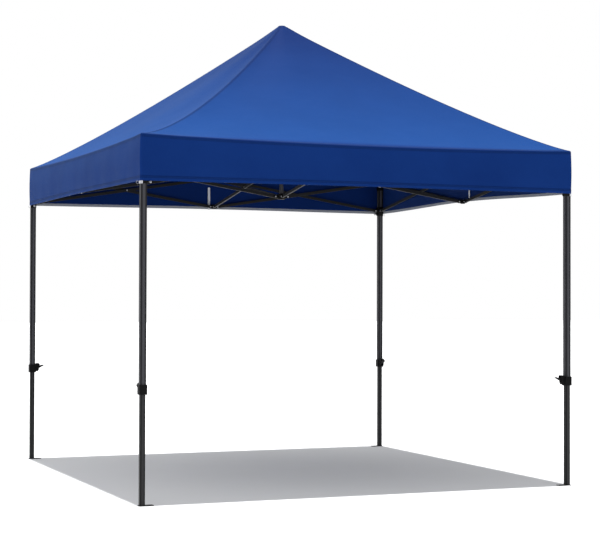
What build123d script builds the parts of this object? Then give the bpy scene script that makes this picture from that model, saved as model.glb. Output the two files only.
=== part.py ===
from build123d import *
import math
import os

# A pop up canopy for a 3 m square, standing open: four telescoping legs, a folding frame of
# crossed bars round the edge and across the middle, a centre pole and a sheet cover.
# Millimetres. The origin is on the ground under the middle of the roof.
# X runs to the right, Y to the back, Z up.
#
# The frame is the same on all four sides, so every piece is built once, for the front side or
# the front left leg, and turned about Z: turn 0 is front, 1 right, 2 back and 3 left.

SIDES = ["front", "right", "back", "left"]
LEGS = ["front_left", "front_right", "back_right", "back_left"]

# ---- driving dimensions ----
LEG_HALF = 1480.0        # middle of the canopy to a leg's axis, along X and along Y
UPPER_Z = 2205.0         # height of the upper row of pivots
LOWER_Z = 1980.0         # height of the lower row, when the canopy is open
LEG_PIVOT = 45.0         # leg axis to a bar's pivot
MID_PIVOT = 30.0         # middle of a side connector to a bar's pivot
HUB_PIVOT = 45.0         # middle of a hub to a bar's pivot
LAYER = 6.5              # each bar lies this far to one side of its truss's middle plane

BAR_HEIGHT = 22.0
BAR_THICK = 11.0
BAR_WALL = 0.7
BAR_END = 11.0           # a bar runs this far past its end pivot
PIN_R = 3.0
PIN_HOLE_R = 3.08
PIN_HEAD_R = 5.5
PIN_HEAD = 1.5
SPACER_R = 7.0
SPACER_GAP = 0.1

SLOT = 12.0              # width of a fork's slot
EAR = 4.0                # thickness of each of its ears
EAR_R = 11.0
SLOT_START = 16.0        # the slot begins this far before the pivot

LEG_HALF_WIDTH = 19.0    # the outer leg is a square tube
LEG_WALL = 1.0
LEG_BOTTOM = 680.0
LEG_TOP = 2226.0
CAP_HALF_WIDTH = 21.0
CAP_BOTTOM = 2150.0
CAP_TOP = 2232.0

SLIDER_HALF_WIDTH = 21.5
SLIDER_HOLE_HALF = 19.25
SLIDER_BOTTOM = 1938.0
SLIDER_TOP = 2012.0

LATCH_Z = 1950.0
LATCH_R = 4.0
LATCH_HOLE_R = 4.05
LATCH_TIP = 19.4
LATCH_TRAVEL = 6.0
LATCH_LEG_HOLE_R = 4.5
BOSS_R = 9.0
BOSS_END = 34.0
POCKET_R = 6.6
COLLAR_R = 6.2
COLLAR_LENGTH = 2.0
# the pocket in the boss leaves the pin's collar its travel and a little more
POCKET_END = SLIDER_HALF_WIDTH + COLLAR_LENGTH + LATCH_TRAVEL + 0.5
KNOB_START = 43.0
KNOB_END = 51.0
KNOB_R = 8.0

CLAMP_HALF_WIDTH = 25.0
CLAMP_BOTTOM = 667.0
CLAMP_TOP = 727.0
LEVER_PIVOT_OUT = 40.0   # leg axis to the lever's pivot
LEVER_Z = 704.0
LEVER_EAR_IN = 12.3
LEVER_EAR_OUT = 16.0
# outline of the ears that hold the lever: distance from the leg axis, and height
EAR_OUTLINE = [(20, 674), (42, 674), (48, 684), (52, 706), (56, 728), (50, 736), (31, 736), (20, 724)]
LEVER_PIN_R = 2.5
LEVER_HOLE_R = 2.58
LEVER_HALF_WIDTH = 12.0
LEVER_HUB_R = 10.0
LEVER_LENGTH = 52.0      # pivot to the lever's tip
LEVER_TIP_HALF = 3.0     # half the handle's thickness at its tip
LEVER_RISE = 20.0        # degrees up from level
LEVER_NOSE_HALF = 2.8
LEVER_NOSE_END = 16.5    # leg axis to the tip of the nose

INNER_HALF_WIDTH = 16.0
INNER_WALL = 1.0
INNER_TOP = 950.0
INNER_CLEARANCE = 0.3
BUSH_HALF_WIDTH = 17.8
BUSH_LENGTH = 30.0
ADJUST_HOLES = 5
ADJUST_STEP = 75.0
ADJUST_HOLE_R = 4.5

PLATE_THICK = 3.0
PLATE_HALF_WIDTH = 22.0
PLATE_SHORT = 21.5       # leg axis to the plate's short end
PLATE_LONG = 70.5        # leg axis to its long end
STAKE_HOLE_OUT = 48.0
STAKE_HOLE_R = 5.5

HUB_R = 27.0
HUB_HALF_HEIGHT = 20.0
POLE_R = 14.0
POLE_WALL = 1.2
POLE_HOLE_R = 14.08
POLE_TOP = 3080.0
SOCKET_FLOOR = 5.0
COLLAR_TOP_LENGTH = 20.0
ROD_R = 10.0
ROD_WALL = 1.0
ROD_HOLE_R = 10.08
ROD_BOTTOM = 2300.0
ROD_TOP = 3198.0
ROD_FOOT_R = 12.72
ROD_FOOT = 20.0
ROD_CAP_R = 30.0

COVER_HALF = 1503.5      # middle to the outside of the valance
COVER_THICK = 1.2
HEM_Z = 1955.0
EAVE_Z = 2240.0
# the hip line from the crown down to the eave: share of COVER_HALF, and height
HIP = [(0.026, 3218.0), (0.13, 3030.0), (0.45, 2695.0), (1.0, EAVE_Z)]


# ---- helpers ----
def box(x, y, z):
    """A box from its low and high limits along each axis."""
    size = [high - low for low, high in (x, y, z)]
    middle = [(high + low) / 2 for low, high in (x, y, z)]
    return Pos(*middle) * Box(*size)


def square(half, z):
    """An upright square prism about the Z axis."""
    return box((-half, half), (-half, half), z)


def rod(radius, start, end, axis):
    """A cylinder from start to end along one axis, through the origin of the other two."""
    length = end - start
    turns = {"X": Rot(0, 90, 0), "Y": Rot(-90, 0, 0), "Z": Rot(0, 0, 0)}
    places = {"X": (1, 0, 0), "Y": (0, 1, 0), "Z": (0, 0, 1)}
    middle = [(start + end) / 2 * share for share in places[axis]]
    return Pos(*middle) * turns[axis] * Cylinder(radius, length)


def square_tube(half, wall, z):
    """An upright square tube with rounded edges, open at both ends."""
    outside = fillet(square(half, z).edges().filter_by(Axis.Z), 2.5)
    inside = fillet(square(half - wall, z).edges().filter_by(Axis.Z), 1.5)
    return outside - inside


def side_profile(outline, low, high):
    """A plate between two places along X, cut to an outline of (Y, height) points."""
    corners = [(low, y, z) for y, z in outline]
    return extrude(make_face(Polyline(*corners, close=True)), amount=high - low, dir=(1, 0, 0))


def save(name, turn, pieces, place=(0, 0)):
    """Move one node's solids to their place on the front side, turn them, and write the STEP."""
    solids = []
    for piece in pieces:
        placed = Rot(0, 0, 90 * turn) * Pos(place[0], place[1], 0) * piece
        solids += placed.solids()
    export_step(Compound(children=solids), f"parts/{name}.step")


# ---- forks: the lugs that hold the ends of the bars ----
def fork_blank(reach, layer):
    """A solid lug along +X, centred on the bar's layer, with a rounded end about the pivot."""
    y = (layer - SLOT / 2 - EAR, layer + SLOT / 2 + EAR)
    nose = Pos(reach, 0, 0) * rod(EAR_R, y[0], y[1], "Y")
    return box((0, reach), y, (-EAR_R, EAR_R)) + nose


def fork_cut(reach, layer, height=80.0):
    """What is taken out of a lug: the bar's slot and the bore for its pin."""
    y = (layer - SLOT / 2, layer + SLOT / 2)
    slot = box((reach - SLOT_START, reach + 2 * EAR_R), y, (-height / 2, height / 2))
    bore = rod(PIN_HOLE_R, layer - SLOT, layer + SLOT, "Y")
    return slot + Pos(reach, 0, 0) * bore


def with_forks(body, forks, z):
    """Add forks to a body. Each is (pivot distance, layer, degrees from +X)."""
    for reach, layer, degrees in forks:
        body += Pos(0, 0, z) * Rot(0, 0, degrees) * fork_blank(reach, layer)
    for reach, layer, degrees in forks:
        body -= Pos(0, 0, z) * Rot(0, 0, degrees) * fork_cut(reach, layer)
    return body


# ---- bars ----
def bar(length, crossing_pin):
    """A bar along +X from one end pivot to the other, with its thickness along Z.

    It carries the pin at each end. One bar of a crossing pair also carries the crossing pin,
    which reaches through the other bar on its +Z side; that other bar has a hole for it.
    """
    half_thick = BAR_THICK / 2
    half_height = BAR_HEIGHT / 2
    ends = (-BAR_END, length + BAR_END)
    outside = box(ends, (-half_height, half_height), (-half_thick, half_thick))
    outside = fillet(outside.edges().filter_by(Axis.X), 1.5)
    inside_thick = half_thick - BAR_WALL
    inside_height = half_height - BAR_WALL
    inside = box(ends, (-inside_height, inside_height), (-inside_thick, inside_thick))
    tube = outside - inside

    pieces = []
    for x in (0, length):
        tube -= Pos(x, 0, 0) * rod(PIN_R, -half_thick, half_thick, "Z")
        pin_half = SLOT / 2 + EAR
        pieces.append(Pos(x, 0, 0) * rod(PIN_R, -pin_half, pin_half, "Z"))

    middle = Pos(length / 2, 0, 0)
    if crossing_pin:
        tube -= middle * rod(PIN_R, -half_thick, half_thick, "Z")
        far_face = 2 * LAYER + half_thick
        near_face = 2 * LAYER - half_thick
        far_head = far_face + SPACER_GAP
        pin = rod(PIN_R, -half_thick - PIN_HEAD, far_head + PIN_HEAD, "Z")
        pin += rod(PIN_HEAD_R, -half_thick - PIN_HEAD, -half_thick, "Z")
        pin += rod(PIN_HEAD_R, far_head, far_head + PIN_HEAD, "Z")
        pin += rod(SPACER_R, half_thick, near_face - SPACER_GAP, "Z")
        pieces.append(middle * pin)
    else:
        tube -= middle * rod(PIN_HOLE_R, -half_thick, half_thick, "Z")
    return [tube] + pieces


def laid(pieces, start, end, facing):
    """Lay a bar's pieces from start to end, with their +Z side facing the given way."""
    along = Vector(*end) - Vector(*start)
    place = Plane(origin=start, x_dir=along, z_dir=facing).location
    return [place * piece for piece in pieces]


# ---- sub-parts, built for the front side or the front left leg ----
BAR_SPAN = LEG_HALF - LEG_PIVOT - MID_PIVOT
BAR_LENGTH = math.hypot(BAR_SPAN, UPPER_Z - LOWER_Z)


def side_bars(turn):
    """The two crossed pairs of one side. The outer bar of each pair carries the crossing pin."""
    outer_y = -LEG_HALF - LAYER
    inner_y = -LEG_HALF + LAYER
    inward = (0, 1, 0)
    outward = (0, -1, 0)
    for half, sign in (("left", -1), ("right", 1)):
        leg_x = sign * (LEG_HALF - LEG_PIVOT)
        mid_x = sign * MID_PIVOT
        down = laid(bar(BAR_LENGTH, True), (leg_x, outer_y, UPPER_Z), (mid_x, outer_y, LOWER_Z), inward)
        up = laid(bar(BAR_LENGTH, False), (leg_x, inner_y, LOWER_Z), (mid_x, inner_y, UPPER_Z), outward)
        save(f"{SIDES[turn]}_{half}_down_bar", turn, down)
        save(f"{SIDES[turn]}_{half}_up_bar", turn, up)


def peak_bars(turn):
    """The crossed pair that runs from one side's connectors in to the hubs."""
    mid_y = -LEG_HALF + MID_PIVOT
    hub_y = -HUB_PIVOT
    high = laid(bar(BAR_LENGTH, True), (LAYER, hub_y, UPPER_Z), (LAYER, mid_y, LOWER_Z), (-1, 0, 0))
    low = laid(bar(BAR_LENGTH, False), (-LAYER, mid_y, UPPER_Z), (-LAYER, hub_y, LOWER_Z), (1, 0, 0))
    save(f"{SIDES[turn]}_high_peak_bar", turn, high)
    save(f"{SIDES[turn]}_low_peak_bar", turn, low)


def mid_connectors(turn):
    """The moulded connectors half way along a side: two forks along it and one inward."""
    for name, z, side in (("upper", UPPER_Z, 1), ("lower", LOWER_Z, -1)):
        block = square(13.0, (z - 16.0, z + 16.0))
        block = fillet(block.edges().filter_by(Axis.Z), 2.0)
        layer = side * LAYER
        forks = [(MID_PIVOT, layer, 0), (MID_PIVOT, -layer, 180), (MID_PIVOT, layer, 90)]
        save(f"{SIDES[turn]}_{name}_connector", turn, [with_forks(block, forks, z)], (0, -LEG_HALF))


def leg_tube(turn):
    """The outer leg, with the latch hole near its top and a window for the clamp lever's nose."""
    tube = square_tube(LEG_HALF_WIDTH, LEG_WALL, (LEG_BOTTOM, LEG_TOP))
    tube -= Pos(0, 0, LATCH_Z) * rod(LATCH_LEG_HOLE_R, 0, 2 * LEG_HALF_WIDTH, "X")
    tube -= lever_window()
    save(f"{LEGS[turn]}_leg", turn, [tube], (-LEG_HALF, -LEG_HALF))


def leg_brackets(turn):
    """The cap at the leg's head with its two forks, and the clamp housing at its foot."""
    cap = square(CAP_HALF_WIDTH, (CAP_BOTTOM, CAP_TOP))
    cap = fillet(cap.edges().filter_by(Axis.Z), 3.5)
    cap = with_forks(cap, [(LEG_PIVOT, -LAYER, 0), (LEG_PIVOT, LAYER, 90)], UPPER_Z)
    bore = square(LEG_HALF_WIDTH, (CAP_BOTTOM, LEG_TOP))
    cap -= fillet(bore.edges().filter_by(Axis.Z), 2.5)
    save(f"{LEGS[turn]}_brackets", turn, [cap, clamp_housing()], (-LEG_HALF, -LEG_HALF))


def lever_window():
    """The opening that the lever's nose passes through, in the housing and the outer leg."""
    return box((-4.4, 4.4), (17.5, CLAMP_HALF_WIDTH + 2), (LEVER_Z - 15.5, LEVER_Z + 6.0))


def clamp_housing():
    """The moulded collar at the foot of the outer leg, with two ears for the lever."""
    housing = square(CLAMP_HALF_WIDTH, (CLAMP_BOTTOM, CLAMP_TOP))
    housing = fillet(housing.edges().filter_by(Axis.Z), 4.0)
    for low, high in ((-LEVER_EAR_OUT, -LEVER_EAR_IN), (LEVER_EAR_IN, LEVER_EAR_OUT)):
        housing += side_profile(EAR_OUTLINE, low, high)
    socket = square(LEG_HALF_WIDTH, (LEG_BOTTOM, CLAMP_TOP))
    housing -= fillet(socket.edges().filter_by(Axis.Z), 2.5)
    housing -= square(INNER_HALF_WIDTH + INNER_CLEARANCE, (CLAMP_BOTTOM, LEG_BOTTOM))
    bore = rod(LEVER_HOLE_R, -2 * LEVER_EAR_OUT, 2 * LEVER_EAR_OUT, "X")
    housing -= Pos(0, LEVER_PIVOT_OUT, LEVER_Z) * bore
    return housing - lever_window()


def clamp_lever(turn):
    """The lever that frees the inner leg: a pivot, a nose inward and a tapered handle outward."""
    half = LEVER_HALF_WIDTH
    tip = LEVER_TIP_HALF
    outline = [(0, -LEVER_HUB_R), (LEVER_LENGTH, -tip), (LEVER_LENGTH, tip), (0, LEVER_HUB_R)]
    handle = side_profile(outline, -half, half)
    ends = handle.edges().filter_by(Axis.X).sort_by(Axis.Y)[-2:]
    lever = Rot(LEVER_RISE, 0, 0) * fillet(ends, 2.0)
    lever += rod(LEVER_HUB_R, -half, half, "X")
    nose = (-LEVER_NOSE_HALF, LEVER_NOSE_HALF)
    lever += box(nose, (LEVER_NOSE_END - LEVER_PIVOT_OUT, 0), nose)
    lever += rod(LEVER_PIN_R, -LEVER_EAR_OUT, LEVER_EAR_OUT, "X")
    lever = Pos(0, LEVER_PIVOT_OUT, LEVER_Z) * lever
    save(f"{LEGS[turn]}_clamp_lever", turn, [lever], (-LEG_HALF, -LEG_HALF))


def slider(turn):
    """The moulded collar that runs on the outer leg, with two forks and the latch's boss."""
    body = square(SLIDER_HALF_WIDTH, (SLIDER_BOTTOM, SLIDER_TOP))
    body = fillet(body.edges().filter_by(Axis.Z), 3.5)
    body = with_forks(body, [(LEG_PIVOT, LAYER, 0), (LEG_PIVOT, -LAYER, 90)], LOWER_Z)
    body += Pos(0, 0, LATCH_Z) * rod(BOSS_R, 10.0, BOSS_END, "X")
    body -= Pos(0, 0, LATCH_Z) * rod(POCKET_R, SLIDER_HALF_WIDTH, POCKET_END, "X")
    body -= Pos(0, 0, LATCH_Z) * rod(LATCH_HOLE_R, 0, 2 * BOSS_END, "X")
    body -= square(SLIDER_HOLE_HALF, (SLIDER_BOTTOM, SLIDER_TOP))
    save(f"{LEGS[turn]}_slider", turn, [body], (-LEG_HALF, -LEG_HALF))


def latch_pin(turn):
    """The sprung pin that locks the slider to the leg, drawn pulled back by its whole travel."""
    pin = rod(LATCH_R, LATCH_TIP, KNOB_START, "X")
    collar_end = POCKET_END - 0.1
    pin += rod(COLLAR_R, collar_end - COLLAR_LENGTH, collar_end, "X")
    knob = rod(KNOB_R, KNOB_START, KNOB_END, "X")
    pin += fillet(knob.edges().filter_by(GeomType.CIRCLE), 1.5)
    pin = Pos(0, 0, LATCH_Z) * pin
    save(f"{LEGS[turn]}_latch_pin", turn, [pin], (-LEG_HALF, -LEG_HALF))


def inner_leg(turn):
    """The inner leg with its height holes, the glide bush on its head and the foot plate."""
    tube = square_tube(INNER_HALF_WIDTH, INNER_WALL, (PLATE_THICK, INNER_TOP))
    for step in range(ADJUST_HOLES):
        z = LEVER_Z - step * ADJUST_STEP
        tube -= Pos(0, 0, z) * rod(ADJUST_HOLE_R, 0, 2 * INNER_HALF_WIDTH, "Y")
    bush = square(BUSH_HALF_WIDTH, (INNER_TOP - BUSH_LENGTH, INNER_TOP))
    bush = fillet(bush.edges().filter_by(Axis.Z), 2.5)
    hole = square(INNER_HALF_WIDTH, (INNER_TOP - BUSH_LENGTH, INNER_TOP))
    bush -= fillet(hole.edges().filter_by(Axis.Z), 2.5)

    half = PLATE_HALF_WIDTH
    plate = box((-PLATE_SHORT, PLATE_LONG), (-half, half), (0, PLATE_THICK))
    plate = fillet(plate.edges().filter_by(Axis.Z), 4.0)
    plate -= Pos(STAKE_HOLE_OUT, 0, 0) * rod(STAKE_HOLE_R, -1, PLATE_THICK + 1, "Z")
    # the plates of neighbouring legs point towards each other along X
    plate = Rot(0, 0, 90 * (turn % 2)) * plate
    save(f"{LEGS[turn]}_inner_leg", turn, [tube, bush, plate], (-LEG_HALF, -LEG_HALF))


def hub(z, layer):
    """A round hub with four forks, with the bars' layer on the given side."""
    body = Pos(0, 0, z) * Cylinder(HUB_R, 2 * HUB_HALF_HEIGHT)
    body = fillet(body.edges().filter_by(GeomType.CIRCLE), 3.0)
    forks = [(HUB_PIVOT, layer, 90 * turn) for turn in range(4)]
    return with_forks(body, forks, z)


def centre():
    """The two hubs, the pole that stands on the lower one, and the sprung rod in the pole."""
    upper = hub(UPPER_Z, LAYER)
    upper -= rod(POLE_HOLE_R, UPPER_Z - 50, UPPER_Z + 50, "Z")
    save("upper_hub", 0, [upper])

    floor_z = LOWER_Z - HUB_HALF_HEIGHT + SOCKET_FLOOR
    lower = hub(LOWER_Z, -LAYER)
    lower -= rod(POLE_R, floor_z, LOWER_Z + 50, "Z")
    pole = rod(POLE_R, floor_z, POLE_TOP, "Z")
    pole -= rod(POLE_R - POLE_WALL, floor_z, POLE_TOP, "Z")
    collar = rod(POLE_R - POLE_WALL, POLE_TOP - COLLAR_TOP_LENGTH, POLE_TOP, "Z")
    collar -= rod(ROD_HOLE_R, POLE_TOP - COLLAR_TOP_LENGTH, POLE_TOP, "Z")
    save("lower_hub", 0, [lower, pole, collar])

    tube = rod(ROD_R, ROD_BOTTOM, ROD_TOP, "Z") + rod(ROD_FOOT_R, ROD_BOTTOM, ROD_BOTTOM + ROD_FOOT, "Z")
    tube -= rod(ROD_R - ROD_WALL, ROD_BOTTOM, ROD_TOP, "Z")
    cap = rod(ROD_CAP_R, ROD_TOP, ROD_TOP + 14, "Z")
    cap = fillet(cap.edges().filter_by(GeomType.CIRCLE).sort_by(Axis.Z)[-1:], 10.0)
    cap += rod(ROD_R - ROD_WALL, ROD_TOP - 30, ROD_TOP, "Z")
    save("peak_rod", 0, [tube, cap])


def roof_panel(turn, inside, outside):
    """One flat panel of one roof face, between two levels of the hip line."""
    (share_in, z_in), (share_out, z_out) = inside, outside
    limit = COVER_HALF - COVER_THICK
    near, far = share_in * limit, share_out * limit
    corners = [(-near, -near, z_in), (near, -near, z_in), (far, -far, z_out), (-far, -far, z_out)]
    face = make_face(Polyline(*corners, close=True))
    slope = math.atan2(z_in - z_out, far - near)
    drop = COVER_THICK / math.cos(slope)
    return Rot(0, 0, 90 * turn) * extrude(face, amount=drop, dir=(0, 0, -1))


def canopy_cover():
    """The fabric as thin flat panels that meet face to face: roof, crown and valance."""
    pieces = []
    for turn in range(4):
        for inside, outside in zip(HIP, HIP[1:]):
            pieces.append(roof_panel(turn, inside, outside))
        far = COVER_HALF
        near = COVER_HALF - COVER_THICK
        corners = [(-far, -far), (far, -far), (near, -near), (-near, -near)]
        footprint = Pos(0, 0, HEM_Z) * make_face(Polyline(*corners, close=True))
        valance = extrude(footprint, amount=EAVE_Z - HEM_Z, dir=(0, 0, 1))
        pieces.append(Rot(0, 0, 90 * turn) * valance)
    crown_half = HIP[0][0] * (COVER_HALF - COVER_THICK)
    crown_z = HIP[0][1]
    pieces.append(square(crown_half, (crown_z, crown_z + COVER_THICK)))
    save("canopy_cover", 0, pieces)


os.makedirs("parts", exist_ok=True)
for turn in range(4):
    side_bars(turn)
    peak_bars(turn)
    mid_connectors(turn)
    leg_tube(turn)
    leg_brackets(turn)
    clamp_lever(turn)
    slider(turn)
    latch_pin(turn)
    inner_leg(turn)
centre()
canopy_cover()
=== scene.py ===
import math

import bmesh
import bpy
import numpy as np
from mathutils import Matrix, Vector


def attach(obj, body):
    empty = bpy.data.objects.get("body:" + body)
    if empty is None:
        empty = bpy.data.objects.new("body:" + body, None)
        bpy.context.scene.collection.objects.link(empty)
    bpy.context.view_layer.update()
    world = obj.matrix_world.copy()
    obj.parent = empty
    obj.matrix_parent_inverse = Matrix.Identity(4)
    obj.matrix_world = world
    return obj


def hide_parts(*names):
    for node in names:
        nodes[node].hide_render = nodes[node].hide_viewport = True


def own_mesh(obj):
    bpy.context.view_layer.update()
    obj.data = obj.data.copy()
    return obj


# Looks for an open pop up canopy: a blue cloth cover on a dark folding frame.
# Metres. Z is up, and the front side faces -Y. The four sides are alike, so each piece is worked
# out for the front side and turned about Z: turn 0 is front, 1 right, 2 back and 3 left.

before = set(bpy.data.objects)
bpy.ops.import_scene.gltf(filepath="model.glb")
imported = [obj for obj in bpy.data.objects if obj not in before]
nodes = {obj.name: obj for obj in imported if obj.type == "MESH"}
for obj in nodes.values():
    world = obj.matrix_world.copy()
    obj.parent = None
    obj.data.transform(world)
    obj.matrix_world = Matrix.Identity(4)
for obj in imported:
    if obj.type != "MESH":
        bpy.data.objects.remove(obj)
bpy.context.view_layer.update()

SIDES = ["front", "right", "back", "left"]
LEGS = ["front_left", "front_right", "back_right", "back_left"]
QUARTER = [(1, 0), (0, 1), (-1, 0), (0, -1)]      # cosine and sine of each turn

# ---- the cover ----
HALF = 1.5035            # middle to the outside of the valance
CLOTH = 0.0012           # thickness of the cloth
HEM_Z = 1.955
EAVE_Z = 2.240
PEAK_RISE = 0.985        # height of the hip line's upper end above the eave
HIP_POWER = 1.16         # how hollow the hip line is; 1 would be straight
NEAR_HIP_SLACK = 0.26    # the hip over the left front leg hangs slacker than the other three
SLACK_SPREAD = 0.05      # how far that slack reaches to either side of its hip
HIP_ROUND = 0.012        # width over which the cloth turns from one face to the next
FACE_SAG = 0.022         # the middle of each face hangs this far below a straight line
CROWN_Z = 3.2178         # the cloth over the peak rod's cap
CROWN_LIFT = 0.008       # the faces rise this much more where they meet the crown
CROWN_FLAT = 0.018       # radius of its flat top
CROWN_CURVE = 0.020      # how wide its shoulder is
CAP_EDGE = 0.040         # inside this radius the cloth lies on the cap
CAP_BLEND = 0.014
SEAM_HALF = 0.0085       # half the width of the raised seam along a hip
SEAM_RAISE = 0.0010
SEAM_STITCH = 0.0060     # hip line to each of its rows of stitches
ROLL_R = 0.012           # radius of the rolled edge between roof and valance
ROLL_START = math.radians(14.0)
ROLL_MID = HALF - ROLL_R
ROLL_REACH = ROLL_R * math.sin(ROLL_START)
ROOF_END = ROLL_MID + ROLL_REACH
BELLY = 0.0035           # the valance bulges out this far half way down
RIPPLE = 0.0015
RIPPLE_LENGTH = 0.31
RIPPLE_FADE = 0.16
PUCKER = 0.0018          # low folds that run along each hip
PUCKER_WIDTH = 0.045
PUCKER_FADE = 0.16
EAVE_STITCH = 0.010      # the eave to the row of stitches above it, and below it
SKIRT_STITCH = 0.004
CLOTH_SLOPE = 1.19       # stretches the weave's pattern down the slope
BAND = 0.028             # width of the doubled hem
BAND_RAISE = 0.0010
BAND_STITCH = 0.0240
HEM_RISE = [0.004, 0.025, 0.006, 0.006]           # how far each side's hem arches up in its middle

# ---- where the cover is cut, so that every piece follows one part of the frame ----
CROWN_CUT = 0.085        # the crown rides on the peak rod
STRIP_CUT = 0.035        # a strip down the middle of each face rides on the side's connector
CROSS_CUT = 0.7325       # the rest is split where the bars of a side cross
CORNER_CUT = 1.415       # a patch at each corner rides on the leg

# ---- the frame, repeated from the CAD for the small pieces that are fixed to it ----
LEG_HALF = 1.480
UPPER_Z = 2.205
LOWER_Z = 1.980
LEG_PIVOT = 0.045
MID_PIVOT = 0.030
HUB_PIVOT = 0.045
LAYER = 0.0065
BAR_THICK = 0.011
EAR_FACE = 0.010         # a bar's middle plane to the outside of the fork that holds it
HUB_TOP = 2.001
PEAK_CAP_Z = 3.199       # the underside of the peak rod's plastic cap

# ---- light and camera ----
SKY_LOW = 0.45           # the sky's strength at the horizon and overhead
SKY_HIGH = 1.05
SKY_LEFT = 1.75          # and what it is multiplied by towards the left and the right
SKY_RIGHT = 0.35
SUN_STRENGTH = 4.6
SUN_SPREAD = 1.2         # degrees
CAMERA_LENS = 95.88      # millimetres, on a sensor 36 wide
CAMERA_PLACE = (-4.246, -10.741, 1.269)
CAMERA_TURN = (91.02, -0.17, -22.25)              # degrees


# ---- meshes ----
def turned(points, turn):
    """Turn points of the front side to another side."""
    c, s = QUARTER[turn]
    points = np.asarray(points, float)
    x, y, z = points[..., 0], points[..., 1], points[..., 2]
    return np.stack([c * x - s * y, s * x + c * y, z], -1)


def smooth_step(x):
    """0 below 0, 1 above 1, and a smooth rise between."""
    x = np.clip(x, 0, 1)
    return x * x * (3 - 2 * x)


def new_object(name, mesh):
    obj = bpy.data.objects.new(name, mesh)
    bpy.context.scene.collection.objects.link(obj)
    return obj


def plain_mesh(name, points, faces, smooth=True):
    """An object from points and faces, with its edges kept sharp where they turn a lot."""
    mesh = bpy.data.meshes.new(name)
    mesh.from_pydata([tuple(p) for p in points], [], [tuple(f) for f in faces])
    mesh.update()
    if smooth:
        mesh.polygons.foreach_set("use_smooth", [True] * len(mesh.polygons))
        mesh.set_sharp_from_angle(angle=math.radians(38))
    return new_object(name, mesh)


def cloth_piece(name, grids):
    """One sheet of cloth from grids of points on its outer face.

    Each grid has "points", "normals", "flat" (the cloth's own coordinates, in metres), "thick",
    "stitch" (distance to the nearest row of stitches) and "hem" (height above the hem).
    """
    join = {}
    for key in ("points", "normals", "flat", "thick", "stitch", "hem"):
        size = {"points": 3, "normals": 3, "flat": 2}.get(key, 1)
        join[key] = np.concatenate([g[key].reshape(-1, size) for g in grids])
    keys = np.round(join["points"] * 1e6).astype(np.int64)
    _, first, index = np.unique(keys, axis=0, return_index=True, return_inverse=True)
    index = index.ravel()
    data = {key: value[first] for key, value in join.items()}
    count = len(first)
    normals = data["normals"]

    faces = []
    start = 0
    for grid in grids:
        rows, columns = grid["points"].shape[:2]
        ids = index[start:start + rows * columns].reshape(rows, columns)
        start += rows * columns
        for i in range(rows - 1):
            for j in range(columns - 1):
                corners = [ids[i, j], ids[i, j + 1], ids[i + 1, j + 1], ids[i + 1, j]]
                corners = list(dict.fromkeys(corners))
                if len(corners) < 3:
                    continue
                p = data["points"][corners]
                across = np.cross(p[1] - p[0], p[2] - p[0])
                if len(corners) == 4:
                    across = np.cross(p[2] - p[0], p[3] - p[1])
                if np.linalg.norm(across) < 1e-12:
                    continue
                if across @ normals[corners].sum(0) < 0:
                    corners.reverse()
                faces.append(corners)

    used = {}
    for face in faces:
        for a, b in zip(face, face[1:] + face[:1]):
            used[(a, b)] = True
    rim = [(a, b) for a, b in used if (b, a) not in used]

    inner = data["points"] - normals * data["thick"]
    points = np.concatenate([data["points"], inner])
    inside = [[v + count for v in reversed(face)] for face in faces]
    edge = [[b, a, a + count, b + count] for a, b in rim]
    everything = faces + inside + edge

    mesh = bpy.data.meshes.new(name)
    mesh.from_pydata(points.tolist(), [], [[int(v) for v in face] for face in everything])
    mesh.polygons.foreach_set("use_smooth", [True] * len(mesh.polygons))
    loop_normals = []
    for face in faces:
        loop_normals += [tuple(normals[v]) for v in face]
    for face in inside:
        loop_normals += [tuple(-normals[v - count]) for v in face]
    for face in edge:
        p = points[face]
        n = np.cross(p[2] - p[0], p[3] - p[1])
        n = n / max(np.linalg.norm(n), 1e-12)
        loop_normals += [tuple(n)] * 4
    flat = mesh.uv_layers.new(name="cloth")
    order = np.array([v % count for face in everything for v in face])
    flat.data.foreach_set("uv", data["flat"][order].astype(np.float32).ravel())
    for key in ("stitch", "hem"):
        layer = mesh.attributes.new(key, "FLOAT", "POINT")
        layer.data.foreach_set("value", np.tile(data[key].ravel(), 2).astype(np.float32))
    layer = mesh.attributes.new("inside", "FLOAT", "POINT")
    layer.data.foreach_set("value", np.repeat([0.0, 1.0], count).astype(np.float32))
    mesh.update()
    mesh.normals_split_custom_set(loop_normals)
    return new_object(name, mesh)


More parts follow.
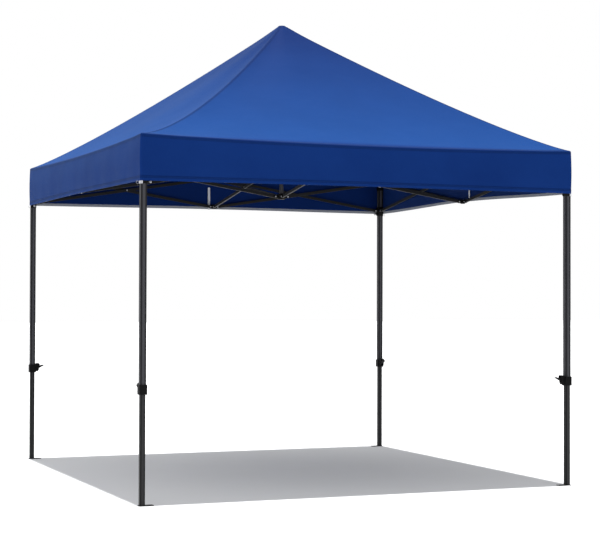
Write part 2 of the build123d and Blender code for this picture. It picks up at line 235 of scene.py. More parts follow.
# ---- the shape of the cover ----
def roof_height(x, y, turn):
    """Height of the roof's cloth over a point of the ground, as seen from one side."""
    a, b = np.abs(x), np.abs(y)
    out = (a + b + np.sqrt((a - b) ** 2 + HIP_ROUND ** 2)) / 2
    share = out / HALF
    r = np.hypot(x, y)
    near_leg = turned((-1, -1, 0), (4 - turn) % 4) / math.sqrt(2)
    toward_near_leg = (x * near_leg[0] + y * near_leg[1]) / np.maximum(r, 1e-6)
    slack = NEAR_HIP_SLACK * np.exp((toward_near_leg - 1) / SLACK_SPREAD)
    hip = EAVE_Z + PEAK_RISE * np.clip(1 - share, 0, 1) ** (HIP_POWER + slack)
    across = np.minimum(a, b) / np.maximum(np.maximum(a, b), 1e-6)
    sag = FACE_SAG * share * (2.6 - 1.6 * share) * (1 - across ** 2)
    from_hip = np.abs(a - b) / math.sqrt(2)
    seam = SEAM_RAISE * smooth_step((SEAM_HALF + 0.0015 - from_hip) / 0.003)
    pucker = PUCKER * share * np.sin(from_hip / PUCKER_WIDTH + 1.0) * np.exp(-from_hip / PUCKER_FADE)
    lift = CROWN_LIFT * np.exp(-(share / 0.06) ** 2)
    face = hip - sag + seam + pucker + lift
    dome = CROWN_Z - np.maximum(r - CROWN_FLAT, 0) ** 2 / CROWN_CURVE
    both = (face + dome + np.sqrt((face - dome) ** 2 + 0.004 ** 2)) / 2
    on_cap = smooth_step((CAP_EDGE - r) / CAP_BLEND)
    return both * (1 - on_cap) + dome * on_cap


def roof_normal(x, y, turn):
    """The roof's outward direction, from the slope of its height."""
    step = 0.001
    dx = (roof_height(x + step, y, turn) - roof_height(x - step, y, turn)) / (2 * step)
    dy = (roof_height(x, y + step, turn) - roof_height(x, y - step, turn)) / (2 * step)
    n = np.stack([-dx, -dy, np.ones_like(dx)], -1)
    return n / np.linalg.norm(n, axis=-1, keepdims=True)


def roof_grid(turn, sign, low, high, rings, columns):
    """Part of one face: sign -1 is its left half, and low and high are distances from its middle."""
    u_rows = []
    for w in rings:
        first, last = min(low, w), min(high, w)
        plain_end = max(first, min(high, w - 0.016))
        plain = first + (plain_end - first) * np.linspace(0, 1, columns)
        seam = w - np.array([0.014, 0.0115, 0.009, 0.006, 0.003, 0.002, 0.001, 0.0])
        u_rows.append(np.concatenate([plain, np.clip(seam, first, last)]))
    u = np.array(u_rows)
    w = np.repeat(np.asarray(rings, float)[:, None], u.shape[1], 1)

    # each ring's corner is a small arc, so that the hip is a soft ridge
    corner = np.minimum(ROLL_REACH, w)
    straight = w - corner
    angle = np.clip((u - straight) / np.maximum(corner, 1e-9), 0, 1) * math.pi / 4
    in_arc = u > straight
    x = np.where(in_arc, straight + corner * np.sin(angle), u)
    y = np.where(in_arc, straight + corner * np.cos(angle), w)

    points = np.stack([sign * x, -y, roof_height(sign * x, -y, turn)], -1)
    normals = roof_normal(sign * x, -y, turn)
    from_hip = np.abs(y - x) / math.sqrt(2)
    to_hip_row = from_hip - SEAM_STITCH
    to_eave_row = (ROOF_END - w) - EAVE_STITCH
    nearest = np.where(np.abs(to_hip_row) < np.abs(to_eave_row), to_hip_row, to_eave_row)
    return {
        "points": turned(points, turn),
        "normals": turned(normals, turn),
        "flat": np.stack([sign * x, (HALF - y) * CLOTH_SLOPE], -1),
        "thick": np.full(u.shape, CLOTH),
        "stitch": nearest,
        "hem": np.full(u.shape, 9.0),
    }


def skirt_parts(s, turn):
    """For places along the front edge: distance from the middle, its straight and turned parts,
    the roll's middle height and the hem's height."""
    a = np.abs(s)
    straight = np.minimum(a, ROLL_MID)
    angle = np.maximum(a - ROLL_MID, 0) / ROLL_R
    x0 = straight + ROLL_REACH * np.sin(angle)
    y0 = ROLL_MID + ROLL_REACH * np.cos(angle)
    middle_z = roof_height(np.sign(s) * x0, -y0, turn) - ROLL_R * math.cos(ROLL_START)
    hem = HEM_Z + HEM_RISE[turn] * np.cos(math.pi / 2 * straight / ROLL_MID) ** 2
    return a, straight, angle, middle_z, hem


def skirt_point(s, q, turn):
    """A point of the cover's edge: q 0 to 1 goes over the rolled eave, 1 to 2 down to the hem."""
    a, straight, angle, middle_z, hem = skirt_parts(s, turn)
    tilt = ROLL_START + (math.pi / 2 - ROLL_START) * np.clip(q, 0, 1)
    down = np.clip(q - 1, 0, 1)
    drop = middle_z - hem
    fade = np.clip((ROLL_MID - a) / RIPPLE_FADE, 0, 1)
    wave = 0.5 + 0.5 * np.sin(2 * math.pi * s / RIPPLE_LENGTH + 1.7 * turn)
    reach = ROLL_R * np.sin(tilt)
    reach = reach + BELLY * np.sin(math.pi * down)
    reach = reach + RIPPLE * down ** 1.3 * wave * smooth_step(fade)
    reach = reach + BAND_RAISE * smooth_step((BAND + 0.0008 - drop * (1 - down)) / 0.0016)
    x = np.sign(s) * (straight + reach * np.sin(angle))
    y = -(ROLL_MID + reach * np.cos(angle))
    z = middle_z + ROLL_R * np.cos(tilt) - drop * down
    return np.stack([x, y, z + 0 * x], -1)


def skirt_grid(turn, sign, columns):
    """Half of one side's rolled eave and valance."""
    plain = np.linspace(0, ROLL_MID, columns)
    around = ROLL_MID + ROLL_R * math.pi / 4 * np.linspace(0, 1, 5)[1:]
    s = sign * np.concatenate([plain, around])
    if sign < 0:
        s[0] = -1e-9
    _, _, _, middle_z, hem = skirt_parts(s, turn)
    drop = middle_z - hem
    rows = [np.full(s.shape, q) for q in np.linspace(0, 1, 6)]
    rows += [1 + (drop - 0.034) / drop * f for f in np.linspace(0, 1, 11)[1:]]
    for height in (0.0296, 0.0288, 0.0280, 0.0272, 0.0264, 0.014, 0.0):
        rows.append(2 - height / drop)
    q = np.array(rows)
    s = np.repeat(s[None, :], len(rows), 0)
    points = skirt_point(s, q, turn)
    along = skirt_point(s + 1e-4, q, turn) - skirt_point(s - 1e-4, q, turn)
    q_low, q_high = np.maximum(q - 1e-3, 0), np.minimum(q + 1e-3, 2)
    downward = skirt_point(s, q_high, turn) - skirt_point(s, q_low, turn)
    normals = np.cross(along, downward)
    normals = -normals / np.linalg.norm(normals, axis=-1, keepdims=True)
    outward = points - np.array([0, 0, 2.0])
    wrong = (normals * outward).sum(-1) < 0
    normals[wrong] *= -1
    height = drop[None, :] * (2 - np.maximum(q, 1))
    to_eave = (drop[None, :] - height) - SKIRT_STITCH
    to_band = height - BAND_STITCH
    length = np.where(q < 1, q * ROLL_R * 1.3, ROLL_R * 1.3 + drop[None, :] - height)
    return {
        "points": turned(points, turn),
        "normals": turned(normals, turn),
        "flat": np.stack([s, -length], -1),
        "thick": CLOTH + BAND_RAISE * smooth_step((BAND + 0.0008 - height) / 0.0016),
        "stitch": np.where(np.abs(to_band) < np.abs(to_eave), to_band, to_eave),
        "hem": np.where(q < 1, 9.0, height),
    }


# ---- materials ----
class Shader:
    """A node material, with short ways to add nodes and join them."""

    def __init__(self, name):
        self.material = bpy.data.materials.new(name)
        self.material.use_nodes = True
        self.tree = self.material.node_tree
        self.surface = self.tree.nodes["Principled BSDF"]

    def put(self, socket, value):
        if isinstance(value, bpy.types.NodeSocket):
            self.tree.links.new(value, socket)
        else:
            socket.default_value = value

    def node(self, kind, inputs=(), **settings):
        node = self.tree.nodes.new(kind)
        for key, value in settings.items():
            setattr(node, key, value)
        for key, value in dict(inputs).items():
            self.put(node.inputs[key], value)
        return node

    def math(self, operation, *values, clamp=False):
        node = self.node("ShaderNodeMath", operation=operation, use_clamp=clamp)
        for i, value in enumerate(values):
            self.put(node.inputs[i], value)
        return node.outputs[0]

    def ramp(self, value, low, high, to_low=0.0, to_high=1.0, smooth=True):
        node = self.node("ShaderNodeMapRange", interpolation_type="SMOOTHSTEP" if smooth else "LINEAR")
        ends = {"Value": value, "From Min": low, "From Max": high, "To Min": to_low, "To Max": to_high}
        for key, end in ends.items():
            self.put(node.inputs[key], end)
        return node.outputs["Result"]

    def mix(self, share, a, b):
        node = self.node("ShaderNodeMix", data_type="RGBA")
        self.put(node.inputs["Factor"], share)
        self.put(node.inputs[6], a)
        self.put(node.inputs[7], b)
        return node.outputs[2]

    def noise(self, place, scale, detail=2.0, rough=0.5):
        settings = {"Vector": place, "Scale": scale, "Detail": detail, "Roughness": rough}
        node = self.node("ShaderNodeTexNoise", settings)
        return node.outputs["Fac"]

    def stretch(self, place, scale):
        node = self.node("ShaderNodeMapping", {"Vector": place, "Scale": scale})
        return node.outputs["Vector"]

    def bump(self, height, depth=1.0):
        """Bump from a height in metres."""
        node = self.node("ShaderNodeBump", {"Height": height, "Distance": 1.0, "Strength": depth})
        return node.outputs["Normal"]

    def finish(self, **values):
        for key, value in values.items():
            self.put(self.surface.inputs[key.replace("_", " ")], value)
        return self.material


def rgb(r, g, b):
    return (r, g, b, 1.0)


def fabric_material():
    """Coated polyester: a fine plain weave, sewn seams and soft creases from being packed, with painted
    shade towards the crown, on the inside and along the seams, and painted light on the roof near the eave.
    """
    m = Shader("canopy_fabric")
    cloth = m.node("ShaderNodeUVMap", uv_map="cloth").outputs["UV"]
    split = m.node("ShaderNodeSeparateXYZ", {"Vector": cloth})
    place = m.node("ShaderNodeTexCoord").outputs["Object"]

    thread = 2 * math.pi / 0.0022
    warp = m.math("SINE", m.math("MULTIPLY", split.outputs["X"], thread))
    weft = m.math("SINE", m.math("MULTIPLY", split.outputs["Y"], thread))
    weave = m.math("MULTIPLY", warp, weft)
    slubs = m.noise(m.stretch(cloth, (900.0, 25.0, 1.0)), 1.0, 1.0)
    cloudy = m.noise(place, 2.3, 3.0)
    creases = m.noise(m.stretch(place, (1.0, 1.0, 1.6)), 3.1, 2.0, 0.45)

    stitch = m.node("ShaderNodeAttribute", attribute_name="stitch").outputs["Fac"]
    in_row = m.math("LESS_THAN", m.math("ABSOLUTE", stitch), 0.0007)
    dash = m.math("LESS_THAN", m.math("FRACT", m.math("DIVIDE", split.outputs["X"], 0.0052)), 0.66)
    thread_mask = m.math("MULTIPLY", in_row, dash)
    groove = m.ramp(m.math("ABSOLUTE", stitch), 0.0, 0.0026, 1.0, 0.0)

    height_above_hem = m.node("ShaderNodeAttribute", attribute_name="hem").outputs["Fac"]
    inside = m.node("ShaderNodeAttribute", attribute_name="inside").outputs["Fac"]
    near_hem = m.math("LESS_THAN", height_above_hem, 0.020)
    tape = m.math("MULTIPLY", near_hem, m.math("GREATER_THAN", inside, 0.5))

    outer = m.mix(m.ramp(cloudy, 0.3, 0.7), rgb(*FABRIC_DARK), rgb(*FABRIC_LIGHT))
    # painted shade: the cloth darkens with height towards the crown; painted light: the roof is paler just
    # above the eave
    above = m.node("ShaderNodeSeparateXYZ", {"Vector": place}).outputs["Z"]
    crown_shade = m.ramp(above, 2.30, 3.10, 0.0, 1.0, smooth=False)
    light = m.math("MULTIPLY", m.math("SUBTRACT", 1.0, crown_shade), m.ramp(above, 2.225, 2.250))
    outer = m.mix(m.math("MULTIPLY", crown_shade, 0.45), outer, rgb(*FABRIC_SHADE_AND_WEAVE))
    outer = m.mix(m.math("MULTIPLY", light, 0.30), outer, rgb(*FABRIC_PAINTED_LIGHT))
    outer = m.mix(m.math("MULTIPLY", m.ramp(slubs, 0.35, 0.75), 0.10), outer, rgb(*FABRIC_THREAD))
    outer = m.mix(m.math("MULTIPLY", m.ramp(weave, -1.0, 0.2, 1.0, 0.0), 0.12), outer, rgb(*FABRIC_SHADE_AND_WEAVE))
    # painted shade: the inside of the cover is darkened
    shaded_inside = m.mix(m.math("MULTIPLY", m.math("GREATER_THAN", inside, 0.5), 0.75), outer, rgb(*FABRIC_SHADE_AND_WEAVE))
    # painted shade: a dark band along each row of stitches
    seam_shade = m.math("MULTIPLY", m.ramp(m.math("ABSOLUTE", stitch), 0.002, 0.013, 1.0, 0.0), 0.65)
    seam_shaded = m.mix(seam_shade, shaded_inside, rgb(*FABRIC_SHADE_AND_WEAVE))
    sewn = m.mix(m.math("MULTIPLY", thread_mask, 0.75), seam_shaded, rgb(*FABRIC_THREAD))
    colour = m.mix(tape, sewn, rgb(0.22, 0.23, 0.26))

    height = m.math("MULTIPLY", weave, 0.00006)
    height = m.math("ADD", height, m.math("MULTIPLY", slubs, 0.00005))
    height = m.math("ADD", height, m.math("MULTIPLY", creases, 0.010))
    height = m.math("ADD", height, m.math("MULTIPLY", groove, -0.00045))
    height = m.math("ADD", height, m.math("MULTIPLY", thread_mask, 0.00040))
    return m.finish(
        Base_Color=colour,
        Roughness=m.ramp(slubs, 0.2, 0.8, 0.50, 0.62),
        Specular_IOR_Level=0.02,
        Sheen_Weight=0.06,
        Sheen_Roughness=0.40,
        Sheen_Tint=rgb(0.45, 0.77, 1.0),
        Normal=m.bump(height, 0.7),
    )


def powder_coat(name, colour, rough=0.42, highlight_stripe=0.0):
    """Powder-coated steel: a fine orange peel and faint scuffs, and on the legs a painted highlight, a
    lighter band down the middle of each face.
    """
    m = Shader(name)
    place = m.node("ShaderNodeTexCoord").outputs["Object"]
    peel = m.noise(place, 900.0, 1.0)
    patches = m.noise(place, 14.0, 3.0)
    scuffs = m.noise(m.stretch(place, (240.0, 240.0, 9.0)), 1.0, 3.0, 0.6)
    worn = m.math("MULTIPLY", m.ramp(scuffs, 0.66, 0.80), 0.45)
    base = m.mix(patches, rgb(*[0.86 * c for c in colour]), rgb(*[1.14 * c for c in colour]))
    lighter = rgb(*[min(1.0, 3.0 * c + 0.022) for c in colour])
    # painted highlight: a lighter band down the middle of each face of a leg
    if highlight_stripe:
        split = m.node("ShaderNodeSeparateXYZ", {"Vector": place})
        across = [
            m.math("ABSOLUTE", m.math("SUBTRACT", m.math("ABSOLUTE", split.outputs[axis]), LEG_HALF))
            for axis in ("X", "Y")
        ]
        middle = m.ramp(m.math("MINIMUM", *across), 0.005, 0.011, highlight_stripe, 0.0)
        base = m.mix(middle, base, lighter)
    return m.finish(
        Base_Color=m.mix(worn, base, lighter),
        Metallic=0.0,
        Roughness=m.ramp(patches, 0.25, 0.75, rough - 0.06, rough + 0.08),
        Specular_IOR_Level=0.16,
        Normal=m.bump(m.math("MULTIPLY", peel, 0.00012), 0.6),
    )


def moulded_plastic(name, colour, rough=0.5):
    """Moulded nylon with a fine spark-eroded grain."""
    m = Shader(name)
    place = m.node("ShaderNodeTexCoord").outputs["Object"]
    grain = m.noise(place, 1500.0, 2.0, 0.6)
    patches = m.noise(place, 35.0, 2.0)
    return m.finish(
        Base_Color=m.mix(patches, rgb(*[0.8 * c for c in colour]), rgb(*[1.25 * c for c in colour])),
        Roughness=m.ramp(grain, 0.3, 0.7, rough - 0.07, rough + 0.09),
        Specular_IOR_Level=0.12,
        Normal=m.bump(m.math("MULTIPLY", grain, 0.00010), 0.8),
    )


def bare_metal(name, colour, rough=0.3):
    """Plated or drawn metal, with fine lines along its length."""
    m = Shader(name)
    place = m.node("ShaderNodeTexCoord").outputs["Object"]
    lines = m.noise(m.stretch(place, (1400.0, 1400.0, 12.0)), 1.0, 2.0)
    patches = m.noise(place, 50.0, 2.0)
    return m.finish(
        Base_Color=m.mix(patches, rgb(*[0.85 * c for c in colour]), rgb(*colour)),
        Metallic=1.0,
        Roughness=m.ramp(lines, 0.2, 0.8, rough - 0.06, rough + 0.10),
        Normal=m.bump(m.math("MULTIPLY", lines, 0.00004), 0.6),
    )


def webbing_material():
    """White webbing: ribs across its width."""
    m = Shader("webbing")
    place = m.node("ShaderNodeTexCoord").outputs["Object"]
    split = m.node("ShaderNodeSeparateXYZ", {"Vector": place})
    ribs = m.math("SINE", m.math("MULTIPLY", split.outputs["Z"], 2 * math.pi / 0.0016))
    fuzz = m.noise(place, 700.0, 2.0)
    return m.finish(
        Base_Color=m.mix(m.ramp(ribs, -1.0, 1.0), rgb(0.42, 0.43, 0.46), rgb(0.62, 0.63, 0.66)),
        Roughness=m.ramp(fuzz, 0.2, 0.8, 0.7, 0.85),
        Sheen_Weight=0.3,
        Normal=m.bump(m.math("MULTIPLY", ribs, 0.00012), 0.8),
    )


# painted shade darkens the cloth towards the crown and painted light makes the roof paler near the eave; the
# shade colour is also painted on the inside of the cover and in bands along the seams, and darkens the gaps
# of the weave
FABRIC_DARK = (0.0035, 0.022, 0.128)
FABRIC_LIGHT = (0.0044, 0.026, 0.144)
FABRIC_PAINTED_LIGHT = (0.0120, 0.090, 0.300)
FABRIC_THREAD = (0.012, 0.052, 0.215)
FABRIC_SHADE_AND_WEAVE = (0.0020, 0.011, 0.065)

fabric = fabric_material()
leg_paint = powder_coat("leg_paint", (0.009, 0.009, 0.011), 0.50, highlight_stripe=1.0)
inner_paint = powder_coat("inner_leg_paint", (0.0030, 0.0030, 0.0036), 0.52, highlight_stripe=0.8)
bar_paint = powder_coat("bar_paint", (0.0065, 0.0065, 0.0075), 0.48)
black_plastic = moulded_plastic("black_plastic", (0.0018, 0.0018, 0.0021), 0.60)
lever_plastic = moulded_plastic("lever_plastic", (0.0020, 0.0020, 0.0024), 0.55)
zinc = bare_metal("zinc_plate", (0.42, 0.42, 0.44), 0.34)
pole_metal = bare_metal("pole_aluminium", (0.06, 0.06, 0.065), 0.42)
webbing = webbing_material()


def paint(obj, material):
    """Give an object one material."""
    obj.data.materials.clear()
    obj.data.materials.append(material)


# ---- materials of the CAD nodes ----
def front_centres(node, turn):
    """The middle of each of a node's faces, turned back to the front side."""
    mesh = nodes[node].data
    centres = np.zeros(len(mesh.polygons) * 3, np.float32)
    mesh.polygons.foreach_get("center", centres)
    return turned(centres.reshape(-1, 3), (4 - turn) % 4)


def paint_bar(node, turn, axis, plane):
    """A bar's tube is painted, and the pins that stand out of its two broad faces are plated."""
    paint(nodes[node], bar_paint)
    nodes[node].data.materials.append(zinc)
    beyond = np.abs(front_centres(node, turn)[:, axis] - plane) > BAR_THICK / 2 + 0.0003
    nodes[node].data.polygons.foreach_set("material_index", beyond.astype(np.int32))


for turn in range(4):
    for half in ("left", "right"):
        paint_bar(f"{SIDES[turn]}_{half}_down_bar", turn, 1, -LEG_HALF - LAYER)
        paint_bar(f"{SIDES[turn]}_{half}_up_bar", turn, 1, -LEG_HALF + LAYER)
    paint_bar(f"{SIDES[turn]}_high_peak_bar", turn, 0, LAYER)
    paint_bar(f"{SIDES[turn]}_low_peak_bar", turn, 0, -LAYER)
    paint(nodes[f"{SIDES[turn]}_upper_connector"], black_plastic)
    paint(nodes[f"{SIDES[turn]}_lower_connector"], black_plastic)
    paint(nodes[f"{LEGS[turn]}_leg"], leg_paint)
    paint(nodes[f"{LEGS[turn]}_brackets"], black_plastic)
    paint(nodes[f"{LEGS[turn]}_inner_leg"], inner_paint)
    paint(nodes[f"{LEGS[turn]}_slider"], black_plastic)
    paint(nodes[f"{LEGS[turn]}_clamp_lever"], lever_plastic)
    paint(nodes[f"{LEGS[turn]}_latch_pin"], zinc)
paint(nodes["upper_hub"], black_plastic)
paint(nodes["lower_hub"], black_plastic)
nodes["lower_hub"].data.materials.append(pole_metal)
above_hub = front_centres("lower_hub", 0)[:, 2] > HUB_TOP
nodes["lower_hub"].data.polygons.foreach_set("material_index", above_hub.astype(np.int32))
paint(nodes["peak_rod"], pole_metal)
nodes["peak_rod"].data.materials.append(black_plastic)
cap_faces = front_centres("peak_rod", 0)[:, 2] > PEAK_CAP_Z
nodes["peak_rod"].data.polygons.foreach_set("material_index", cap_faces.astype(np.int32))


def cover_piece(name, grids, body):
    piece = cloth_piece(name, grids)
    paint(piece, fabric)
    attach(piece, body)
    return piece


def gather(piece):
    """Give a piece of one face its own copy of its mesh."""
    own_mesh(piece)


def ring_list(start, end, step=0.028):
    count = max(2, int(math.ceil((end - start) / step)) + 1)
    return list(np.linspace(start, end, count))


NEAR_RINGS = ring_list(CROWN_CUT, CROSS_CUT)
FAR_RINGS = ring_list(CROSS_CUT, CORNER_CUT)
EAVE_RINGS = ring_list(CORNER_CUT, ROOF_END - 0.016, 0.020) + [ROOF_END - 0.008, ROOF_END]
ALL_RINGS = NEAR_RINGS + FAR_RINGS[1:] + EAVE_RINGS[1:]
OUTER_RINGS = FAR_RINGS + EAVE_RINGS[1:]

cover = []
crown_rings = [0.0] + ring_list(0.006, CROWN_CUT, 0.0055)
crown_grids = [roof_grid(t, sign, 0.0, 9.0, crown_rings, 8) for t in range(4) for sign in (-1, 1)]
crown = cover_piece("cover_crown", crown_grids, "peak_rod")
cover.append(crown)
for turn in range(4):
    side = SIDES[turn]
    left_leg = LEGS[turn]
    right_leg = LEGS[(turn + 1) % 4]
    connector = f"{side}_upper_connector"
    strip = cover_piece(
        f"cover_{side}_strip",
        [roof_grid(turn, sign, 0.0, STRIP_CUT, ALL_RINGS, 3) for sign in (-1, 1)],
        connector,
    )
    gather(strip)
    cover.append(strip)
    for half, sign, leg in (("left", -1, left_leg), ("right", 1, right_leg)):
        middle = cover_piece(
            f"cover_{side}_{half}_middle",
            [roof_grid(turn, sign, STRIP_CUT, CROSS_CUT, ALL_RINGS, 26)],
            f"{side}_{half}_up_bar",
        )
        gather(middle)
        outer = cover_piece(
            f"cover_{side}_{half}_corner",
            [roof_grid(turn, sign, CROSS_CUT, CORNER_CUT, OUTER_RINGS, 26)],
            f"{side}_{half}_down_bar",
        )
        gather(outer)
        valance = cover_piece(
            f"cover_{side}_{half}_valance",
            [skirt_grid(turn, sign, 56)],
            f"{leg}_leg",
        )
        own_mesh(valance)
        cover += [middle, outer, valance]
    last = (turn - 1) % 4
    patch = cover_piece(
        f"cover_{left_leg}_patch",
        [
            roof_grid(turn, -1, CORNER_CUT, 9.0, EAVE_RINGS, 3),
            roof_grid(last, 1, CORNER_CUT, 9.0, EAVE_RINGS, 3),
        ],
        f"{left_leg}_leg",
    )
    cover.append(patch)
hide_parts("canopy_cover")


# ---- rivets, webbing and rings ----
RIVET_R = 0.0062
RIVET_RISE = 0.0024
NUT_R = 0.0058
NUT_RISE = 0.0042
CLAMP_PIVOT_OUT = 0.040
CLAMP_EAR = 0.016
CLAMP_Z = 0.704
TAB_OUT = 1.50195        # middle to the tab's own middle; it hangs between slider and valance
TAB_THICK = 0.0005
TAB_Z = (1.937, 1.972)
TAB_LONG = 0.034         # the corner to the tab's end, on the side with the ring and on the other
TAB_SHORT = 0.012
TAB_BEND = 0.006
RING_R = 0.0080
RING_WIRE = 0.0011
RING_OUT = 1.5112
RING_ALONG = 1.466
RING_Z = 1.945
STRAP_OUT = 1.4993
STRAP_THICK = 0.0008
STRAP_HALF = 0.0095


def lathe(profile, sides, place, axis, direction):
    """A closed turned shape from (radius, height) pairs, set along X or Y."""
    angles = [2 * math.pi * i / sides for i in range(sides)]
    points = []
    for radius, height in profile:
        for angle in angles:
            p = (radius * math.cos(angle), radius * math.sin(angle), direction * height)
            points.append((p[2], p[0], p[1]) if axis == 0 else (p[0], p[2], p[1]))
    points = [tuple(a + b for a, b in zip(p, place)) for p in points]
    faces = []
    for ring in range(len(profile) - 1):
        for i in range(sides):
            j = (i + 1) % sides
            near, far = ring * sides, (ring + 1) * sides
            faces.append((near + i, near + j, far + j, far + i))
    faces.append(tuple(reversed(range(sides))))
    faces.append(tuple(range((len(profile) - 1) * sides, len(profile) * sides)))
    return points, faces


def fastened(place, axis, reach, outward):
    """A rivet head on one face of a fork or a pair of ears, and a nut on the other."""
    dome = [
        (RIVET_R, 0),
        (RIVET_R, 0.0006),
        (0.88 * RIVET_R, 0.0013),
        (0.6 * RIVET_R, 0.0020),
        (0.2 * RIVET_R, RIVET_RISE),
    ]
    nut = [
        (NUT_R, 0),
        (NUT_R, 0.8 * NUT_RISE),
        (0.88 * NUT_R, 0.9 * NUT_RISE),
        (0.6 * NUT_R, NUT_RISE),
        (0.3 * NUT_R, NUT_RISE),
    ]
    shapes = []
    for profile, sides, direction in ((dome, 20, outward), (nut, 6, -outward)):
        at = list(place)
        at[axis] += direction * reach
        shapes.append(lathe(profile, sides, at, axis, direction))
    return shapes


def join_shapes(name, shapes, turn, material, body, smooth=True):
    """Put several shapes in one object, turn them to their side and ride them on a body."""
    points, faces = [], []
    for shape_points, shape_faces in shapes:
        start = len(points)
        points += [tuple(turned(p, turn)) for p in shape_points]
        faces += [tuple(start + i for i in face) for face in shape_faces]
    piece = plain_mesh(name, points, faces, smooth=smooth)
    shell = bmesh.new()
    shell.from_mesh(piece.data)
    bmesh.ops.recalc_face_normals(shell, faces=shell.faces)
    shell.to_mesh(piece.data)
    shell.free()
    paint(piece, material)
    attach(piece, body)
    return piece


def torus(place, radius, wire, sides=28, round_sides=10):
    """A ring standing in the plane of X and Z."""
    points = []
    for i in range(sides):
        angle = 2 * math.pi * i / sides
        for j in range(round_sides):
            turn_angle = 2 * math.pi * j / round_sides
            reach = radius + wire * math.cos(turn_angle)
            x = place[0] + reach * math.cos(angle)
            z = place[2] + reach * math.sin(angle)
            points.append((x, place[1] + wire * math.sin(turn_angle), z))
    faces = []
    for i in range(sides):
        for j in range(round_sides):
            a, b = i * round_sides, ((i + 1) % sides) * round_sides
            k = (j + 1) % round_sides
            faces.append((a + j, a + k, b + k, b + j))
    return points, faces


def strip_of_webbing(name, path, low, high, thick, turn, body):
    """Webbing on edge: a path seen from above as (point, outward) pairs, between two heights."""
    points = []
    for (x, y), (nx, ny) in path:
        for side, z in ((-1, low), (1, low), (1, high), (-1, high)):
            points.append((x + side * nx * thick / 2, y + side * ny * thick / 2, z))
    faces = [(0, 3, 2, 1)]
    for i in range(len(path) - 1):
        a, b = 4 * i, 4 * (i + 1)
        for j in range(4):
            k = (j + 1) % 4
            faces.append((a + j, a + k, b + k, b + j))
    last = 4 * (len(path) - 1)
    faces.append((last, last + 1, last + 2, last + 3))
    piece = join_shapes(name, [(points, faces)], turn, webbing, body, smooth=False)
    return piece


def corner_path(sign_y, long_part, short_part):
    """The way of a tab round the outer corner of the left front leg, or of its mirror image."""
    centre = TAB_OUT - TAB_BEND
    path = [((-TAB_OUT, sign_y * (TAB_OUT - long_part)), (-1, 0))]
    for i in range(7):
        angle = math.radians(15 * i)
        out = (-math.cos(angle), sign_y * math.sin(angle))
        path.append(((-centre + TAB_BEND * out[0], sign_y * centre + TAB_BEND * out[1]), out))
    path.append(((-TAB_OUT + short_part, sign_y * TAB_OUT), (0, sign_y)))
    return path


outer_layer = -LEG_HALF - LAYER
inner_layer = -LEG_HALF + LAYER
leg_x = LEG_HALF - LEG_PIVOT
for turn in range(4):
    side = SIDES[turn]
    left_leg = LEGS[turn]
    right_leg = LEGS[(turn + 1) % 4]
    for leg, sign, half in ((left_leg, -1, "right"), (right_leg, 1, "left")):
        cap_bolt = fastened((sign * leg_x, outer_layer, UPPER_Z), 1, EAR_FACE, -1)
        join_shapes(f"{leg}_cap_{half}_bolt", cap_bolt, turn, zinc, f"{leg}_leg")
        slider_bolt = fastened((sign * leg_x, inner_layer, LOWER_Z), 1, EAR_FACE, -1)
        join_shapes(f"{leg}_slider_{half}_bolt", slider_bolt, turn, zinc, f"{leg}_slider")
    upper_bolts = []
    lower_bolts = []
    for sign in (-1, 1):
        upper_bolts += fastened((sign * MID_PIVOT, inner_layer, UPPER_Z), 1, EAR_FACE, 1)
        lower_bolts += fastened((sign * MID_PIVOT, outer_layer, LOWER_Z), 1, EAR_FACE, -1)
    upper_bolts += fastened((-LAYER, -LEG_HALF + MID_PIVOT, UPPER_Z), 0, EAR_FACE, -1)
    lower_bolts += fastened((LAYER, -LEG_HALF + MID_PIVOT, LOWER_Z), 0, EAR_FACE, 1)
    join_shapes(f"{side}_upper_bolts", upper_bolts, turn, zinc, f"{side}_upper_connector")
    join_shapes(f"{side}_lower_bolts", lower_bolts, turn, zinc, f"{side}_lower_connector")
    high_bolt = fastened((LAYER, -HUB_PIVOT, UPPER_Z), 0, EAR_FACE, 1)
    join_shapes(f"upper_hub_{side}_bolt", high_bolt, turn, zinc, "head")
    low_bolt = fastened((-LAYER, -HUB_PIVOT, LOWER_Z), 0, EAR_FACE, -1)
    join_shapes(f"lower_hub_{side}_bolt", low_bolt, turn, zinc, "lower_hub")
    pivot = (-LEG_HALF, -LEG_HALF + CLAMP_PIVOT_OUT, CLAMP_Z)
    lever_bolt = fastened(pivot, 0, CLAMP_EAR, -1)
    join_shapes(f"{left_leg}_lever_bolt", lever_bolt, turn, black_plastic, f"{left_leg}_leg")

# the tabs on the left and the right are mirror images, with their long part along Y and the ring there
CORNERS = [("front_left", 0, -1), ("back_left", 0, 1), ("back_right", 2, -1), ("front_right", 2, 1)]
for leg, turn, sign_y in CORNERS:
    strip_of_webbing(
        f"{leg}_tab", corner_path(sign_y, TAB_LONG, TAB_SHORT), TAB_Z[0], TAB_Z[1], TAB_THICK,
        turn, f"{leg}_leg",
    )
    ring = torus((-RING_OUT, sign_y * RING_ALONG, RING_Z), RING_R, RING_WIRE)
    join_shapes(f"{leg}_ring", [ring], turn, zinc, f"{leg}_leg")

# straps that hang inside the valance: where along the side, and between which heights
STRAPS = [
    ("front", 0.085, 1.958, 2.100),
    ("right", -0.067, 2.007, 2.100),
    ("back", 0.037, 1.958, 2.135),
    ("left", 0.080, 1.958, 2.100),
]
for side, along, low_z, high_z in STRAPS:
    turn = SIDES.index(side)
    path = [((along + end * STRAP_HALF, -STRAP_OUT), (0, -1)) for end in (-1, 1)]
    strip_of_webbing(
        f"{side}_strap", path, low_z, high_z, STRAP_THICK,
        turn, f"{side}_upper_connector",
    )


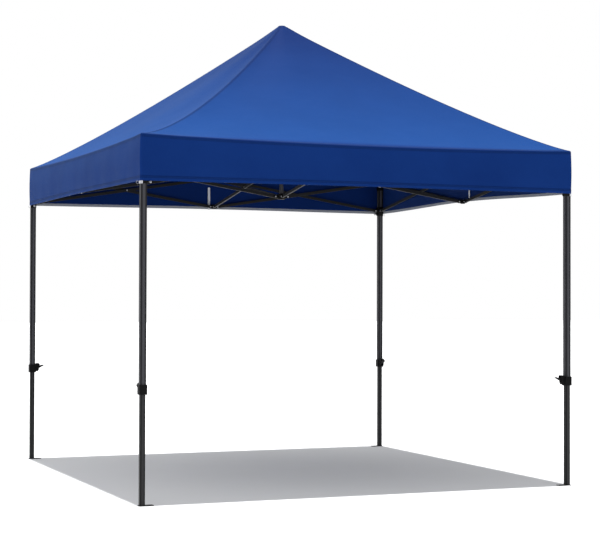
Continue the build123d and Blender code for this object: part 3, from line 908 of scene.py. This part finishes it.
# ---- floor, light and camera ----
def floor():
    m = Shader("floor")
    place = m.node("ShaderNodeTexCoord").outputs["Object"]
    m.finish(
        Base_Color=m.mix(m.noise(place, 3.0), rgb(0.69, 0.69, 0.69), rgb(0.71, 0.71, 0.71)),
        Roughness=0.9,
        Specular_IOR_Level=0.1,
    )
    reach = 60.0
    ground = plain_mesh(
        "floor",
        [(-reach, -reach, -0.001), (reach, -reach, -0.001), (reach, reach, -0.001), (-reach, reach, -0.001)],
        [(0, 1, 2, 3)],
        smooth=False,
    )
    paint(ground, m.material)


def sky():
    """Soft light, stronger from above and from the left, in front of a plain white backdrop."""
    world = bpy.data.worlds.new("studio")
    world.use_nodes = True
    bpy.context.scene.world = world
    tree = world.node_tree
    tree.nodes.clear()
    out = tree.nodes.new("ShaderNodeOutputWorld")
    pick = tree.nodes.new("ShaderNodeMixShader")
    seen = tree.nodes.new("ShaderNodeBackground")
    soft = tree.nodes.new("ShaderNodeBackground")
    path = tree.nodes.new("ShaderNodeLightPath")
    place = tree.nodes.new("ShaderNodeTexCoord")
    split = tree.nodes.new("ShaderNodeSeparateXYZ")
    height = tree.nodes.new("ShaderNodeMapRange")
    height.interpolation_type = "SMOOTHSTEP"
    height.inputs["From Min"].default_value = 0.15
    height.inputs["From Max"].default_value = 0.75
    height.inputs["To Min"].default_value = SKY_LOW
    height.inputs["To Max"].default_value = SKY_HIGH
    seen.inputs["Color"].default_value = (1, 1, 1, 1)
    seen.inputs["Strength"].default_value = 1.0
    soft.inputs["Color"].default_value = (0.97, 0.98, 1.0, 1)
    join = tree.links.new
    join(place.outputs["Generated"], split.inputs["Vector"])
    join(split.outputs["Z"], height.inputs["Value"])
    side = tree.nodes.new("ShaderNodeMapRange")
    side.inputs["From Min"].default_value = -1.0
    side.inputs["From Max"].default_value = 1.0
    side.inputs["To Min"].default_value = SKY_LEFT
    side.inputs["To Max"].default_value = SKY_RIGHT
    join(split.outputs["X"], side.inputs["Value"])
    both = tree.nodes.new("ShaderNodeMath")
    both.operation = "MULTIPLY"
    join(height.outputs["Result"], both.inputs[0])
    join(side.outputs["Result"], both.inputs[1])
    join(both.outputs["Value"], soft.inputs["Strength"])
    join(path.outputs["Is Camera Ray"], pick.inputs["Fac"])
    join(soft.outputs["Background"], pick.inputs[1])
    join(seen.outputs["Background"], pick.inputs[2])
    join(pick.outputs["Shader"], out.inputs["Surface"])


def sun(name, strength, spread, direction):
    data = bpy.data.lights.new(name, "SUN")
    data.energy = strength
    data.angle = math.radians(spread)
    light = new_object(name, data)
    light.rotation_euler = Vector(direction).to_track_quat("-Z", "Y").to_euler()


def camera():
    """The viewpoint: low, in front of the left front leg, looking slightly up."""
    data = bpy.data.cameras.new("camera")
    data.sensor_width = 36.0
    data.lens = CAMERA_LENS
    data.clip_end = 500.0
    cam = new_object("camera", data)
    cam.location = CAMERA_PLACE
    cam.rotation_euler = [math.radians(angle) for angle in CAMERA_TURN]
    bpy.context.scene.camera = cam


floor()
sky()
sun("overhead", SUN_STRENGTH, SUN_SPREAD, (0, 0, -1))
camera()
bpy.context.scene.view_settings.view_transform = "Standard"
